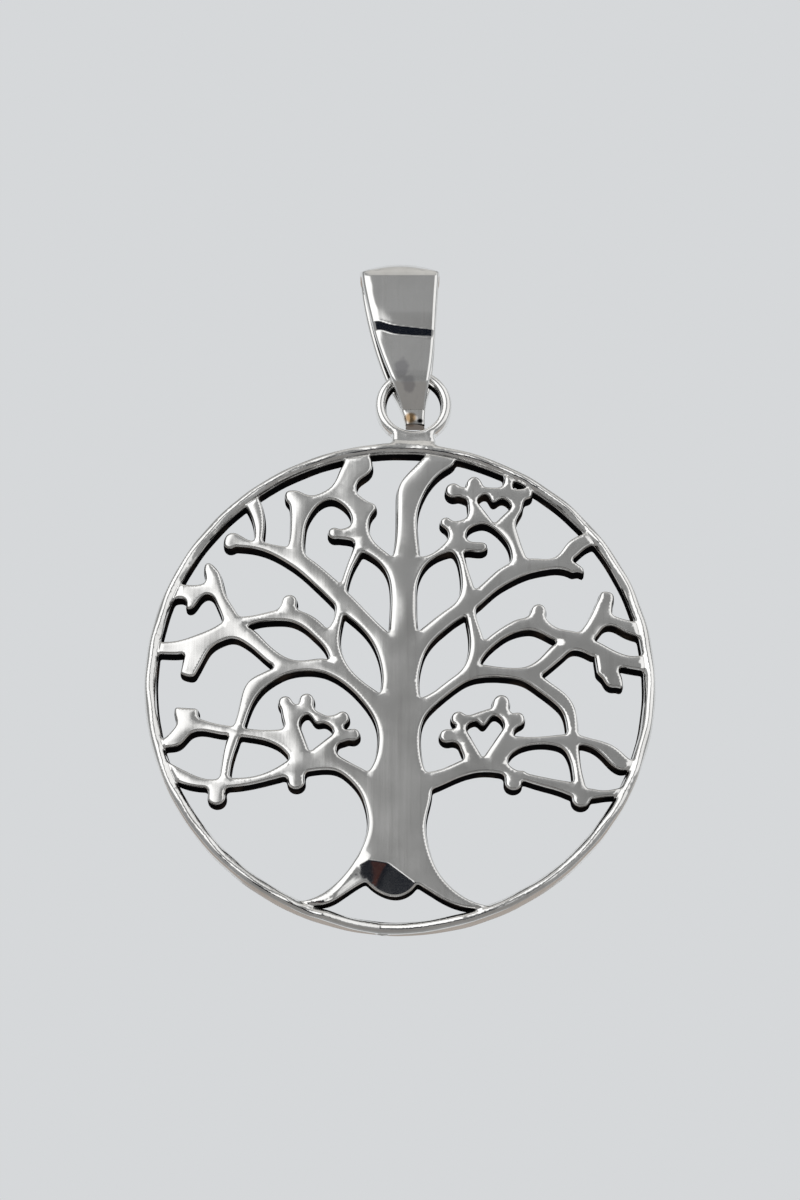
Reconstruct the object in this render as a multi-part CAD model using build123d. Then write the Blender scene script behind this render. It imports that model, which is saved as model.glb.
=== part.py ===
from build123d import *
import math
import os

# A round pendant with a pierced tree of life, hung by its eye in a folded strip bail.
# The disc faces -Y, and the origin is the inside of the bail's top, where a chain runs.

# Named sizes, in millimetres
disc_radius = 17.5
ring_width = 0.8
ring_depth = 1.7
ring_edge_round = 0.22
plate_thickness = 1.5
weld_overlap = 0.3
eye_hole_radius = 2.0
eye_wire_width = 0.7
eye_wire_depth = 1.25
eye_edge_round = 0.28
eye_offset = 0.95
eye_lift = 0.24
neck_height = 1.12
neck_sink = 0.35
neck_foot_width = 3.4
neck_top_width = 2.6
neck_depth = 1.25
bail_strip = 0.55
bail_length = 12.5
bail_top_width = 5.8
bail_top_depth = 3.6
bail_crown = 0.55
bail_fold_flat = 0.08
bail_seam_length = 1.2
eye_rise_in_bail = 3.9

# Heights
bail_top = bail_strip
bail_end = bail_top - bail_length
swing_height = bail_end + eye_rise_in_bail
eye_centre_height = swing_height - eye_hole_radius - eye_wire_width / 2
disc_height = eye_centre_height - eye_hole_radius - eye_wire_width - eye_lift - disc_radius
neck_foot = disc_height + disc_radius - neck_sink
plate_front = -ring_depth / 2
plate_back = plate_front + plate_thickness

# The tree is pierced from a round sheet. An opening is drawn as its sides in turn, each a
# smooth curve from one sharp corner on to the next, which starts the side that follows. Its
# points are across and up, in shares of the disc radius from the centre, with +up towards
# the eye. These openings lie inside the tree.
inner_openings = {
    "left arch": [
        [(-0.372, 0.515), (-0.381, 0.545), (-0.381, 0.600), (-0.374, 0.650), (-0.352, 0.697),
         (-0.318, 0.737), (-0.272, 0.752), (-0.235, 0.736), (-0.207, 0.707), (-0.193, 0.668),
         (-0.200, 0.642), (-0.222, 0.630), (-0.250, 0.629), (-0.275, 0.631), (-0.287, 0.616),
         (-0.281, 0.596), (-0.250, 0.586), (-0.205, 0.582)],
        [(-0.181, 0.573), (-0.190, 0.535), (-0.208, 0.487), (-0.224, 0.437)],
        [(-0.236, 0.397), (-0.282, 0.440), (-0.330, 0.482)]],
    "right arch": [
        [(0.297, 0.372), (0.283, 0.415), (0.268, 0.465)],
        [(0.253, 0.531), (0.293, 0.532), (0.330, 0.532), (0.346, 0.545), (0.344, 0.562),
         (0.325, 0.571), (0.290, 0.572), (0.266, 0.583), (0.262, 0.604), (0.275, 0.629),
         (0.300, 0.643), (0.335, 0.648), (0.370, 0.632), (0.405, 0.598), (0.430, 0.560),
         (0.441, 0.517), (0.436, 0.487), (0.411, 0.471), (0.375, 0.444), (0.337, 0.408)]],
    "upper left lens": [
        [(-0.150, 0.530), (-0.115, 0.512), (-0.075, 0.477), (-0.050, 0.435), (-0.038, 0.380),
         (-0.037, 0.290), (-0.041, 0.220)],
        [(-0.043, 0.191), (-0.094, 0.241), (-0.150, 0.302)],
        [(-0.211, 0.366), (-0.200, 0.425), (-0.180, 0.477)]],
    "upper right lens": [
        [(0.207, 0.532), (0.222, 0.512), (0.236, 0.465), (0.242, 0.410), (0.238, 0.360),
         (0.215, 0.316), (0.170, 0.281), (0.115, 0.236)],
        [(0.070, 0.197), (0.065, 0.260), (0.064, 0.330), (0.067, 0.395), (0.085, 0.448),
         (0.125, 0.497), (0.170, 0.522)]],
    "lower left lens": [
        [(-0.220, 0.271), (-0.175, 0.233), (-0.130, 0.185), (-0.098, 0.132), (-0.078, 0.072),
         (-0.070, 0.015)],
        [(-0.078, -0.056), (-0.125, -0.022), (-0.180, 0.027), (-0.218, 0.085),
         (-0.236, 0.150), (-0.232, 0.215)]],
    "lower right lens": [
        [(0.079, -0.074), (0.073, -0.030), (0.073, 0.010), (0.080, 0.055), (0.096, 0.107),
         (0.128, 0.157), (0.175, 0.203), (0.225, 0.243)],
        [(0.259, 0.264), (0.268, 0.212), (0.273, 0.150), (0.266, 0.098), (0.242, 0.045),
         (0.190, 0.000), (0.135, -0.045)]],
    "left arm lens": [
        [(-0.603, 0.219), (-0.560, 0.236), (-0.500, 0.243), (-0.435, 0.240), (-0.385, 0.219),
         (-0.337, 0.178), (-0.298, 0.135)],
        [(-0.276, 0.082), (-0.340, 0.085), (-0.395, 0.079), (-0.440, 0.089),
         (-0.485, 0.117), (-0.525, 0.154), (-0.563, 0.194)]],
    "right arm lens": [
        [(0.312, 0.064), (0.337, 0.108), (0.375, 0.146), (0.425, 0.182), (0.475, 0.200),
         (0.520, 0.203), (0.565, 0.185)],
        [(0.618, 0.156), (0.580, 0.124), (0.535, 0.078), (0.495, 0.055), (0.440, 0.049),
         (0.370, 0.055)]],
    "left of the trunk": [
        [(-0.606, -0.195), (-0.592, -0.145), (-0.572, -0.093), (-0.540, -0.044),
         (-0.490, -0.002), (-0.430, 0.027), (-0.370, 0.036), (-0.310, 0.031), (-0.250, 0.006),
         (-0.190, -0.040), (-0.140, -0.096), (-0.105, -0.150), (-0.087, -0.205),
         (-0.086, -0.265), (-0.098, -0.325)],
        [(-0.124, -0.370), (-0.170, -0.345), (-0.215, -0.320), (-0.243, -0.297),
         (-0.246, -0.274), (-0.234, -0.245), (-0.236, -0.205), (-0.258, -0.163),
         (-0.300, -0.139), (-0.345, -0.117), (-0.400, -0.108), (-0.440, -0.118),
         (-0.455, -0.145), (-0.450, -0.175)],
        [(-0.457, -0.199), (-0.530, -0.203)]],
    "right of the trunk": [
        [(0.100, -0.371), (0.085, -0.325), (0.078, -0.260), (0.080, -0.200), (0.098, -0.150),
         (0.145, -0.096), (0.208, -0.042), (0.270, -0.003), (0.340, 0.011), (0.420, 0.008),
         (0.480, -0.006), (0.535, -0.042), (0.595, -0.090), (0.632, -0.133), (0.645, -0.180)],
        [(0.648, -0.219), (0.560, -0.228), (0.480, -0.231)],
        [(0.440, -0.228), (0.442, -0.180), (0.436, -0.135), (0.405, -0.112), (0.350, -0.116),
         (0.290, -0.136), (0.240, -0.165), (0.225, -0.215), (0.228, -0.262), (0.240, -0.292)],
        [(0.248, -0.319), (0.200, -0.342), (0.150, -0.362)]],
    "left beam lens": [
        [(-0.620, -0.229), (-0.560, -0.238), (-0.500, -0.254), (-0.455, -0.281)],
        [(-0.427, -0.319), (-0.480, -0.355), (-0.545, -0.383), (-0.600, -0.393)],
        [(-0.657, -0.395), (-0.652, -0.340), (-0.638, -0.285)]],
    "right beam lens": [
        [(0.415, -0.328), (0.430, -0.302), (0.475, -0.273), (0.530, -0.261), (0.590, -0.264),
         (0.632, -0.281), (0.652, -0.312), (0.664, -0.360)],
        [(0.669, -0.413), (0.600, -0.401), (0.520, -0.384), (0.455, -0.365),
         (0.425, -0.348)]],
}

# These openings run on to the ring. The first and the last point lie out on its rim, and an
# arc that reaches this share of the disc radius closes them.
rim_reach = 1.03
rim_openings = {
    "upper left": [
        [(-0.592, 0.822), (-0.566, 0.765), (-0.548, 0.715), (-0.540, 0.650), (-0.543, 0.600)],
        [(-0.546, 0.573), (-0.505, 0.562)],
        [(-0.447, 0.552), (-0.438, 0.600), (-0.436, 0.660), (-0.438, 0.715), (-0.448, 0.745),
         (-0.461, 0.765), (-0.457, 0.786), (-0.437, 0.794), (-0.412, 0.792), (-0.382, 0.777),
         (-0.345, 0.771), (-0.310, 0.784), (-0.278, 0.806), (-0.257, 0.838), (-0.243, 0.875),
         (-0.228, 0.905), (-0.223, 0.930), (-0.235, 0.985)]],
    "crown": [
        [(-0.130, 0.999), (-0.124, 0.945), (-0.112, 0.912), (-0.113, 0.885), (-0.130, 0.860),
         (-0.160, 0.838), (-0.175, 0.812), (-0.172, 0.783), (-0.150, 0.760), (-0.118, 0.740),
         (-0.097, 0.728), (-0.096, 0.713), (-0.112, 0.690), (-0.124, 0.658), (-0.122, 0.615),
         (-0.103, 0.575), (-0.071, 0.542)],
        [(-0.031, 0.509), (-0.020, 0.560), (-0.014, 0.640), (-0.014, 0.740), (-0.008, 0.803),
         (0.014, 0.845), (0.060, 0.896), (0.095, 0.935), (0.142, 0.995)]],
    "beside the top limb": [
        [(0.248, 0.985), (0.229, 0.935), (0.214, 0.903), (0.179, 0.877), (0.122, 0.820),
         (0.085, 0.750), (0.069, 0.690), (0.067, 0.640), (0.072, 0.575)],
        [(0.077, 0.510), (0.128, 0.525), (0.168, 0.558), (0.191, 0.590), (0.195, 0.620),
         (0.220, 0.658), (0.262, 0.674), (0.273, 0.700), (0.270, 0.745), (0.283, 0.790),
         (0.322, 0.806), (0.365, 0.804)],
        [(0.408, 0.808), (0.417, 0.840), (0.415, 0.880), (0.432, 0.925)]],
    "blossom eyelet": [
        [(0.495, 0.890), (0.458, 0.838)],
        [(0.452, 0.800), (0.470, 0.792), (0.495, 0.799), (0.560, 0.850)]],
    "upper right": [
        [(0.570, 0.835), (0.530, 0.790), (0.522, 0.770), (0.495, 0.745), (0.488, 0.713),
         (0.474, 0.686), (0.461, 0.652), (0.468, 0.612), (0.484, 0.555)],
        [(0.503, 0.503), (0.555, 0.502), (0.605, 0.505), (0.635, 0.528), (0.665, 0.570),
         (0.700, 0.594), (0.735, 0.610), (0.790, 0.632)]],
    "left corner": [
        [(-0.930, 0.407), (-0.871, 0.396), (-0.826, 0.391), (-0.795, 0.393)],
        [(-0.772, 0.400), (-0.771, 0.430), (-0.777, 0.460), (-0.773, 0.478), (-0.761, 0.485),
         (-0.741, 0.477), (-0.722, 0.456), (-0.702, 0.407), (-0.690, 0.358), (-0.662, 0.307)],
        [(-0.632, 0.260), (-0.576, 0.266), (-0.508, 0.283), (-0.480, 0.294), (-0.471, 0.314),
         (-0.463, 0.339), (-0.440, 0.350), (-0.418, 0.340), (-0.411, 0.314), (-0.401, 0.289),
         (-0.377, 0.278), (-0.343, 0.261), (-0.314, 0.238)],
        [(-0.287, 0.209), (-0.266, 0.240), (-0.257, 0.272)],
        [(-0.255, 0.306), (-0.285, 0.339), (-0.337, 0.391), (-0.394, 0.445), (-0.451, 0.487),
         (-0.508, 0.520), (-0.565, 0.541), (-0.622, 0.550), (-0.667, 0.552), (-0.692, 0.557),
         (-0.701, 0.574), (-0.696, 0.594), (-0.681, 0.608), (-0.660, 0.611), (-0.633, 0.599),
         (-0.608, 0.583)],
        [(-0.580, 0.578), (-0.580, 0.630), (-0.590, 0.672), (-0.615, 0.725), (-0.665, 0.780)]],
    "right corner": [
        [(0.820, 0.592), (0.772, 0.562), (0.742, 0.549), (0.712, 0.524)],
        [(0.681, 0.496), (0.700, 0.482), (0.718, 0.468)],
        [(0.731, 0.452)],
        [(0.713, 0.424), (0.680, 0.444), (0.645, 0.457), (0.600, 0.458), (0.555, 0.450),
         (0.508, 0.438), (0.440, 0.406), (0.380, 0.368), (0.335, 0.326)],
        [(0.298, 0.294), (0.300, 0.262), (0.312, 0.220)],
        [(0.330, 0.160), (0.365, 0.190), (0.420, 0.228), (0.470, 0.251), (0.503, 0.262),
         (0.513, 0.282), (0.522, 0.299), (0.542, 0.307), (0.563, 0.300), (0.572, 0.282),
         (0.574, 0.258), (0.587, 0.236), (0.620, 0.213), (0.665, 0.203)],
        [(0.702, 0.195), (0.735, 0.238), (0.765, 0.296), (0.781, 0.334)],
        [(0.794, 0.368)],
        [(0.842, 0.356), (0.841, 0.320), (0.836, 0.290)],
        [(0.834, 0.268), (0.880, 0.249), (0.935, 0.236), (1.000, 0.222)]],
    "left tie": [
        [(-0.965, 0.278), (-0.925, 0.312), (-0.890, 0.332), (-0.862, 0.336), (-0.845, 0.328),
         (-0.842, 0.310), (-0.843, 0.296), (-0.832, 0.289), (-0.818, 0.294), (-0.798, 0.321),
         (-0.780, 0.344), (-0.760, 0.353), (-0.742, 0.346), (-0.722, 0.311), (-0.706, 0.275)],
        [(-0.695, 0.241), (-0.740, 0.211), (-0.804, 0.183), (-0.870, 0.161), (-0.930, 0.155),
         (-1.000, 0.168)]],
    "right tie": [
        [(1.000, 0.158), (0.935, 0.176), (0.880, 0.197), (0.830, 0.222), (0.805, 0.218),
         (0.783, 0.195)],
        [(0.759, 0.165), (0.809, 0.137), (0.860, 0.110), (0.910, 0.097), (0.955, 0.102),
         (1.005, 0.112)]],
    "left side": [
        [(-1.005, 0.106), (-0.950, 0.106), (-0.890, 0.104)],
        [(-0.843, 0.107), (-0.850, 0.075)],
        [(-0.859, 0.026), (-0.835, 0.015)],
        [(-0.805, 0.012), (-0.785, 0.050), (-0.762, 0.098), (-0.740, 0.132), (-0.705, 0.156),
         (-0.655, 0.170), (-0.615, 0.155), (-0.560, 0.112)],
        [(-0.490, 0.053), (-0.540, 0.028), (-0.585, 0.001), (-0.610, -0.035),
         (-0.622, -0.085), (-0.632, -0.135)],
        [(-0.648, -0.188), (-0.700, -0.180), (-0.750, -0.167)],
        [(-0.784, -0.154)],
        [(-0.786, -0.117)],
        [(-0.876, -0.111), (-0.874, -0.145), (-0.868, -0.180), (-0.885, -0.207),
         (-0.905, -0.230), (-0.935, -0.246), (-0.980, -0.256)]],
    "right side": [
        [(1.005, 0.030), (0.952, 0.036), (0.905, 0.044)],
        [(0.860, 0.053), (0.866, 0.010), (0.871, -0.027), (0.862, -0.040), (0.848, -0.031),
         (0.815, 0.010), (0.787, 0.050)],
        [(0.768, 0.088), (0.735, 0.105), (0.703, 0.119), (0.675, 0.120), (0.640, 0.093),
         (0.600, 0.058)],
        [(0.551, 0.018), (0.600, -0.021), (0.650, -0.063), (0.680, -0.113), (0.690, -0.170)],
        [(0.691, -0.221), (0.750, -0.239), (0.810, -0.258), (0.850, -0.285), (0.876, -0.312),
         (0.903, -0.329), (0.955, -0.338)]],
    "left foot": [
        [(-0.980, -0.286), (-0.925, -0.277), (-0.885, -0.273), (-0.860, -0.267),
         (-0.835, -0.245), (-0.810, -0.217), (-0.780, -0.208), (-0.724, -0.215)],
        [(-0.662, -0.222), (-0.678, -0.265), (-0.688, -0.325)],
        [(-0.698, -0.396), (-0.750, -0.398), (-0.800, -0.381), (-0.850, -0.356),
         (-0.895, -0.333), (-0.955, -0.308)]],
    "right foot": [
        [(0.950, -0.359), (0.905, -0.357), (0.882, -0.361), (0.861, -0.366), (0.838, -0.360),
         (0.804, -0.331), (0.770, -0.294), (0.735, -0.272)],
        [(0.693, -0.264), (0.697, -0.330), (0.705, -0.385)],
        [(0.716, -0.430), (0.750, -0.440), (0.790, -0.444), (0.830, -0.438), (0.870, -0.428),
         (0.920, -0.415)]],
    "lower left": [
        [(-0.935, -0.365), (-0.882, -0.397), (-0.840, -0.418), (-0.780, -0.432),
         (-0.700, -0.435), (-0.620, -0.430), (-0.530, -0.412), (-0.450, -0.391),
         (-0.380, -0.375), (-0.300, -0.362), (-0.245, -0.368), (-0.195, -0.402),
         (-0.155, -0.452), (-0.130, -0.520), (-0.124, -0.585), (-0.140, -0.652),
         (-0.185, -0.736), (-0.253, -0.815), (-0.325, -0.862), (-0.400, -0.883),
         (-0.475, -0.900)]],
    "lower right": [
        [(0.425, -0.925), (0.350, -0.900), (0.288, -0.883), (0.214, -0.841), (0.155, -0.778),
         (0.118, -0.700), (0.100, -0.620), (0.099, -0.565), (0.112, -0.505)],
        [(0.122, -0.441), (0.175, -0.418), (0.250, -0.385), (0.320, -0.372), (0.400, -0.381),
         (0.470, -0.404), (0.550, -0.430), (0.620, -0.451), (0.680, -0.476), (0.730, -0.481),
         (0.790, -0.471), (0.845, -0.469), (0.910, -0.462)]],
    "roots": [
        [(-0.445, -0.907), (-0.345, -0.893), (-0.275, -0.886), (-0.205, -0.845)],
        [(-0.130, -0.798), (-0.070, -0.844), (-0.005, -0.857), (0.040, -0.838)],
        [(0.065, -0.810), (0.120, -0.845), (0.190, -0.885), (0.250, -0.903), (0.320, -0.908),
         (0.415, -0.918)]],
}

# Petals and pegs stand out from the edges. Each is its root and its tip as stations of
# across, up and half width, and its end is round or flat.
petals = [
    ("round", [(0.225, 0.625, 0.034), (0.180, 0.655, 0.017)]),
    ("round", [(0.285, 0.775, 0.026), (0.211, 0.793, 0.020)]),
    ("round", [(0.310, 0.775, 0.045), (0.297, 0.833, 0.020)]),
    ("round", [(0.465, 0.765, 0.034), (0.507, 0.783, 0.019)]),
    ("round", [(-0.415, -0.145, 0.045), (-0.452, -0.087, 0.020)]),
    ("round", [(-0.370, -0.140, 0.048), (-0.363, -0.079, 0.021)]),
    ("round", [(-0.270, -0.190, 0.050), (-0.219, -0.151, 0.020)]),
    ("round", [(-0.250, -0.227, 0.034), (-0.174, -0.221, 0.018)]),
    ("round", [(0.240, -0.226, 0.038), (0.173, -0.222, 0.019)]),
    ("round", [(0.265, -0.185, 0.048), (0.226, -0.152, 0.020)]),
    ("round", [(0.390, -0.145, 0.045), (0.396, -0.087, 0.021)]),
    ("round", [(0.415, -0.180, 0.042), (0.464, -0.157, 0.019)]),
    ("flat", [(-0.706, -0.415, 0.040), (-0.707, -0.490, 0.027)]),
    ("flat", [(-0.405, -0.365, 0.044), (-0.400, -0.426, 0.026)]),
    ("flat", [(0.440, -0.365, 0.046), (0.437, -0.431, 0.026)]),
    ("flat", [(0.698, -0.450, 0.034), (0.697, -0.494, 0.021)]),
]

# Heart openings in the blossoms: cleft, tip, and the top and side of each lobe
hearts = {
    "upper right": {
        "cleft": (0.372, 0.735), "tip": (0.375, 0.650),
        "lobes": [((0.340, 0.775), (0.314, 0.735)), ((0.410, 0.757), (0.438, 0.712))]},
    "lower left": {
        "cleft": (-0.325, -0.180), "tip": (-0.350, -0.290),
        "lobes": [((-0.360, -0.140), (-0.386, -0.195)), ((-0.285, -0.178), (-0.262, -0.220))]},
    "lower right": {
        "cleft": (0.322, -0.192), "tip": (0.320, -0.315),
        "lobes": [((0.293, -0.168), (0.262, -0.212)), ((0.370, -0.145), (0.398, -0.200))]},
}

# The bail's side view, down the middle of one leg of the strip: height as a share of the
# strip's rise above the bail's end, and half depth as a share of that at the fold.
bail_leg_shares = [
    (0.150, 0.42), (0.190, 0.70), (0.235, 0.89), (0.300, 0.98), (0.400, 1.03), (0.520, 1.08),
    (0.660, 1.10), (0.780, 1.06), (0.865, 1.01), (0.923, 0.92), (0.963, 0.71), (0.990, 0.38)]

# The bail's front view: height as a share of its length, and its left and right edges as
# shares of half its top width.
bail_taper_shares = [
    (0.000, 0.14, 0.60), (0.080, 0.06, 0.61), (0.300, -0.30, 0.76), (0.610, -0.72, 0.88),
    (1.000, -1.00, 1.00)]


def place(across, up):
    """A point of the drawing in millimetres, in the plane of the drawing."""
    return (across * disc_radius, up * disc_radius)


def ribbon_sides(rows):
    """Points either side of rows of x, y and half width."""
    left = []
    right = []
    last = len(rows) - 1
    for index, (x, y, half) in enumerate(rows):
        before = rows[max(index - 1, 0)]
        after = rows[min(index + 1, last)]
        dx = after[0] - before[0]
        dy = after[1] - before[1]
        length = math.hypot(dx, dy)
        left.append((x - dy / length * half, y + dx / length * half))
        right.append((x + dy / length * half, y - dx / length * half))
    return left, right


def petal(ends, stations):
    """A petal or peg of the tree as a face."""
    rows = []
    for across, up, half in stations:
        rows.append((across * disc_radius, up * disc_radius, half * disc_radius))
    left, right = ribbon_sides(rows)
    edges = [Line(*left), Line(*right)]
    for index, other in ((0, 1), (1, 0)):
        x, y, half = rows[index]
        dx = x - rows[other][0]
        dy = y - rows[other][1]
        reach = half / math.hypot(dx, dy)
        tip = (x + dx * reach, y + dy * reach)
        if ends == "flat":
            edges.append(Line(left[index], right[index]))
        else:
            edges.append(ThreePointArc(left[index], tip, right[index]))
    return make_face(Curve() + edges)


def sides_of(points):
    """One side of an opening: a smooth curve, or a straight line between two corners."""
    placed = [place(*point) for point in points]
    if len(placed) == 2:
        return Line(*placed)
    return Spline(*placed)


def inner_opening(sides):
    """An opening with metal all round, as a face."""
    edges = []
    for side, following in zip(sides, sides[1:] + sides[:1]):
        edges.append(sides_of(side + following[:1]))
    return make_face(Curve() + edges)


def rim_opening(sides):
    """An opening that is closed on its outer side by the ring, as a face."""
    edges = []
    for side, following in zip(sides, sides[1:] + [[]]):
        edges.append(sides_of(side + following[:1]))
    start = place(*sides[0][0])
    end = place(*sides[-1][-1])
    middle = (Vector(*start) + Vector(*end)).normalized() * disc_radius * rim_reach
    edges.append(ThreePointArc(end, middle, start))
    return make_face(Curve() + edges)


def heart(cleft, tip, lobes):
    """A heart opening as a face: two lobes from the cleft, straight sides to the tip."""
    edges = []
    for top, side in lobes:
        rise = (top[0] - cleft[0], top[1] - cleft[1])
        fall = (tip[0] - side[0], tip[1] - side[1])
        edges.append(Spline(place(*cleft), place(*top), place(*side), tangents=[rise, fall]))
        edges.append(Line(place(*side), place(*tip)))
    return make_face(Curve() + edges)


def tree_face():
    """The whole tree in the plane: a round sheet, pierced, with petals along its edges."""
    sheet = Circle(disc_radius - ring_width + weld_overlap).face()
    gaps = [inner_opening(sides) for sides in inner_openings.values()]
    gaps += [rim_opening(sides) for sides in rim_openings.values()]
    tree = sheet.cut(*gaps)
    tree = tree.fuse(*[petal(ends, stations) for ends, stations in petals])
    return tree.cut(*[heart(**opening) for opening in hearts.values()])


def band(inner_radius, outer_radius, depth, rounding):
    """A round band about the Y axis with eased edges."""
    section = Plane.XY * Rectangle(outer_radius - inner_radius, depth)
    section = fillet(section.vertices(), rounding)
    section = Pos((inner_radius + outer_radius) / 2, 0) * section
    return revolve(section, Axis.Y, 360)


def pendant():
    """Ring, tree, neck and eye soldered into one solid."""
    ring = Pos(0, 0, disc_height) * band(
        disc_radius - ring_width, disc_radius, ring_depth, ring_edge_round)
    upright = Plane(origin=(0, plate_back, disc_height), x_dir=(1, 0, 0), z_dir=(0, -1, 0))
    tree = extrude(upright * tree_face(), plate_thickness, dir=(0, -1, 0))
    eye = Pos(eye_offset, 0, eye_centre_height) * band(
        eye_hole_radius, eye_hole_radius + eye_wire_width, eye_wire_depth, eye_edge_round)
    neck_plane = Plane(origin=(eye_offset, neck_depth / 2, neck_foot), x_dir=(1, 0, 0), z_dir=(0, -1, 0))
    neck_outline = Polygon(
        (-neck_foot_width / 2, 0), (neck_foot_width / 2, 0),
        (neck_top_width / 2, neck_height + neck_sink),
        (-neck_top_width / 2, neck_height + neck_sink), align=None)
    neck = extrude(neck_plane * neck_outline, neck_depth, dir=(0, -1, 0))
    hole = Pos(eye_offset, 0, eye_centre_height) * Rot(90, 0, 0) * Cylinder(
        eye_hole_radius, neck_depth * 2)
    body = ring.fuse(tree, eye, neck - hole)
    return body


def under_crown(edge, depth):
    """All that lies inside one edge of the strip's side view and under its crowned fold."""
    side_plane = Plane(origin=(-bail_top_width, 0, 0), x_dir=(0, 1, 0), z_dir=(1, 0, 0))
    side_view = make_face(Curve() + [Spline(*edge), Line(edge[-1], edge[0])])
    block = extrude(side_plane * side_view, bail_top_width * 2, dir=(1, 0, 0))
    crown_radius = (bail_top_width ** 2 / 4 + bail_crown ** 2) / (2 * bail_crown)
    crown = Pos(0, 0, bail_top - crown_radius) * Rot(90, 0, 0) * Cylinder(
        crown_radius - depth, bail_top_depth * 2)
    return block & crown


def bail():
    """A tapered strip folded over the chain, its two ends soldered together.

    The fold would stand a little proud of the crown, which trims it to a narrow flat.
    """
    half_strip = bail_strip / 2
    rise = bail_length - half_strip
    front = [(-half_strip, bail_end + bail_seam_length, half_strip)]
    for up, out in bail_leg_shares:
        front.append((-out * (bail_top_depth / 2 - half_strip), bail_end + up * rise, half_strip))
    back = [(-x, z, half) for x, z, half in reversed(front)]
    fold = (0, bail_end + rise + bail_fold_flat, half_strip)
    outer, inner = ribbon_sides(front + [fold] + back)
    strip = under_crown(outer, 0) - under_crown(inner, bail_strip)
    seam = Pos(0, 0, bail_end + bail_seam_length / 2) * Box(
        bail_top_width * 2, bail_strip * 2, bail_seam_length)
    front_plane = Plane(origin=(0, bail_top_depth, 0), x_dir=(1, 0, 0), z_dir=(0, -1, 0))
    half_top = bail_top_width / 2
    left = [(start * half_top, bail_end + up * bail_length) for up, start, stop in bail_taper_shares]
    right = [(stop * half_top, bail_end + up * bail_length) for up, start, stop in bail_taper_shares]
    edges = [Spline(*left), Spline(*right), Line(left[0], right[0]), Line(left[-1], right[-1])]
    taper = make_face(Curve() + edges)
    return (strip + seam) & extrude(front_plane * taper, bail_top_depth * 2, dir=(0, -1, 0))


os.makedirs("parts", exist_ok=True)
for name, shape in {"tree_pendant": pendant(), "bail": bail()}.items():
    export_step(shape.solid(), "parts/" + name + ".step")
    print(name, len(shape.solids()), round(shape.volume, 2))
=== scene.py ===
# %% [markdown]
# A round silver tree of life pendant on a folded strip bail. The solids give every size and
# place, and this scene dresses them: cast and polished silver on the front, dark oxide in
# the pierced walls, and the soft reflections of a small studio.

# %% Open the frame
import math

import bmesh
import bpy
import numpy as np
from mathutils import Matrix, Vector, kdtree
from mathutils.geometry import delaunay_2d_cdt


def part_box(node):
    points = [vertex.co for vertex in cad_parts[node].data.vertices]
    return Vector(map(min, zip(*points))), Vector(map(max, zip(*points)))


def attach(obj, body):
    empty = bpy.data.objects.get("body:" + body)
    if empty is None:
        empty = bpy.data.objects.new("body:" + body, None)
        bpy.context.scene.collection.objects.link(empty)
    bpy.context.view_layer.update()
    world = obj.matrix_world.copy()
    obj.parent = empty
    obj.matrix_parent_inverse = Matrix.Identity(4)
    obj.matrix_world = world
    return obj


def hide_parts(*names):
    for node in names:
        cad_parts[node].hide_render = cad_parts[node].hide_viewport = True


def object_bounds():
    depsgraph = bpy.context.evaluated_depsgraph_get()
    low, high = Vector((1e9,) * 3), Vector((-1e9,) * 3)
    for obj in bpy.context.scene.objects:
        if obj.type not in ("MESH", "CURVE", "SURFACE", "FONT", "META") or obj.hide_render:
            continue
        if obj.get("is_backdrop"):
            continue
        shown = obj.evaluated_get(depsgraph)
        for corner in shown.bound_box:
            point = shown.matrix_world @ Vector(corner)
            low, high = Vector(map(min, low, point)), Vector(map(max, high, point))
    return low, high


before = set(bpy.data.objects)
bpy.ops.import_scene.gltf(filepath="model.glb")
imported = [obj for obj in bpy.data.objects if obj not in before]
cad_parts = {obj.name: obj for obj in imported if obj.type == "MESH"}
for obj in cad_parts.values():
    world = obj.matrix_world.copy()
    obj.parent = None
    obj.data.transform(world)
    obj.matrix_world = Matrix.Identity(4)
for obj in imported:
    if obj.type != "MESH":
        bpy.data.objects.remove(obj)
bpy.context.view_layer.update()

MM = 0.001
scene = bpy.context.scene
pendant_low, pendant_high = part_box("tree_pendant")
bail_low, bail_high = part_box("bail")
disc_radius = (pendant_high.x - pendant_low.x) / 2
disc_centre = Vector((0, 0, pendant_low.z + disc_radius))
front_y = pendant_low.y
print("disc radius", round(disc_radius / MM, 2), "mm")
print("disc centre", [round(c / MM, 2) for c in disc_centre], "mm")

# %% [markdown]
# The photograph looks up at the disc from a little below its middle: the ring is narrower up
# and down than across, and the underside of every branch shows. The camera stands ten disc
# radii away on that slant, and is aimed a touch above the disc's centre so that the bail has
# room over it.

# %% Camera
camera_slant = math.radians(17.0)
camera_distance = 10.1 * disc_radius
picture_height = 1200
focal_share = 2589.1 / picture_height
aim_up = math.radians(1.741)
disc_front = Vector((0, front_y, disc_centre.z))
camera = bpy.data.objects.new("camera", bpy.data.cameras.new("camera"))
camera.data.sensor_fit = "VERTICAL"
camera.data.sensor_height = 24
camera.data.lens = focal_share * camera.data.sensor_height
camera.data.clip_start = 0.01
camera_way = Vector((0, math.cos(camera_slant), math.sin(camera_slant)))
camera.location = disc_front - camera_distance * camera_way
camera.rotation_euler = (math.pi / 2 + camera_slant + aim_up, 0, 0)
scene.collection.objects.link(camera)
scene.camera = camera
print("camera", [round(c / MM, 1) for c in camera.location], "mm")


# %% [markdown]
# A finish is a small sum of patterns, and a sum reads best as an ordinary expression. A small
# class wraps a socket and turns plus, minus and times into Math nodes. The nodes could also be
# linked one by one, but then the formula is hard to see among the links.

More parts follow.
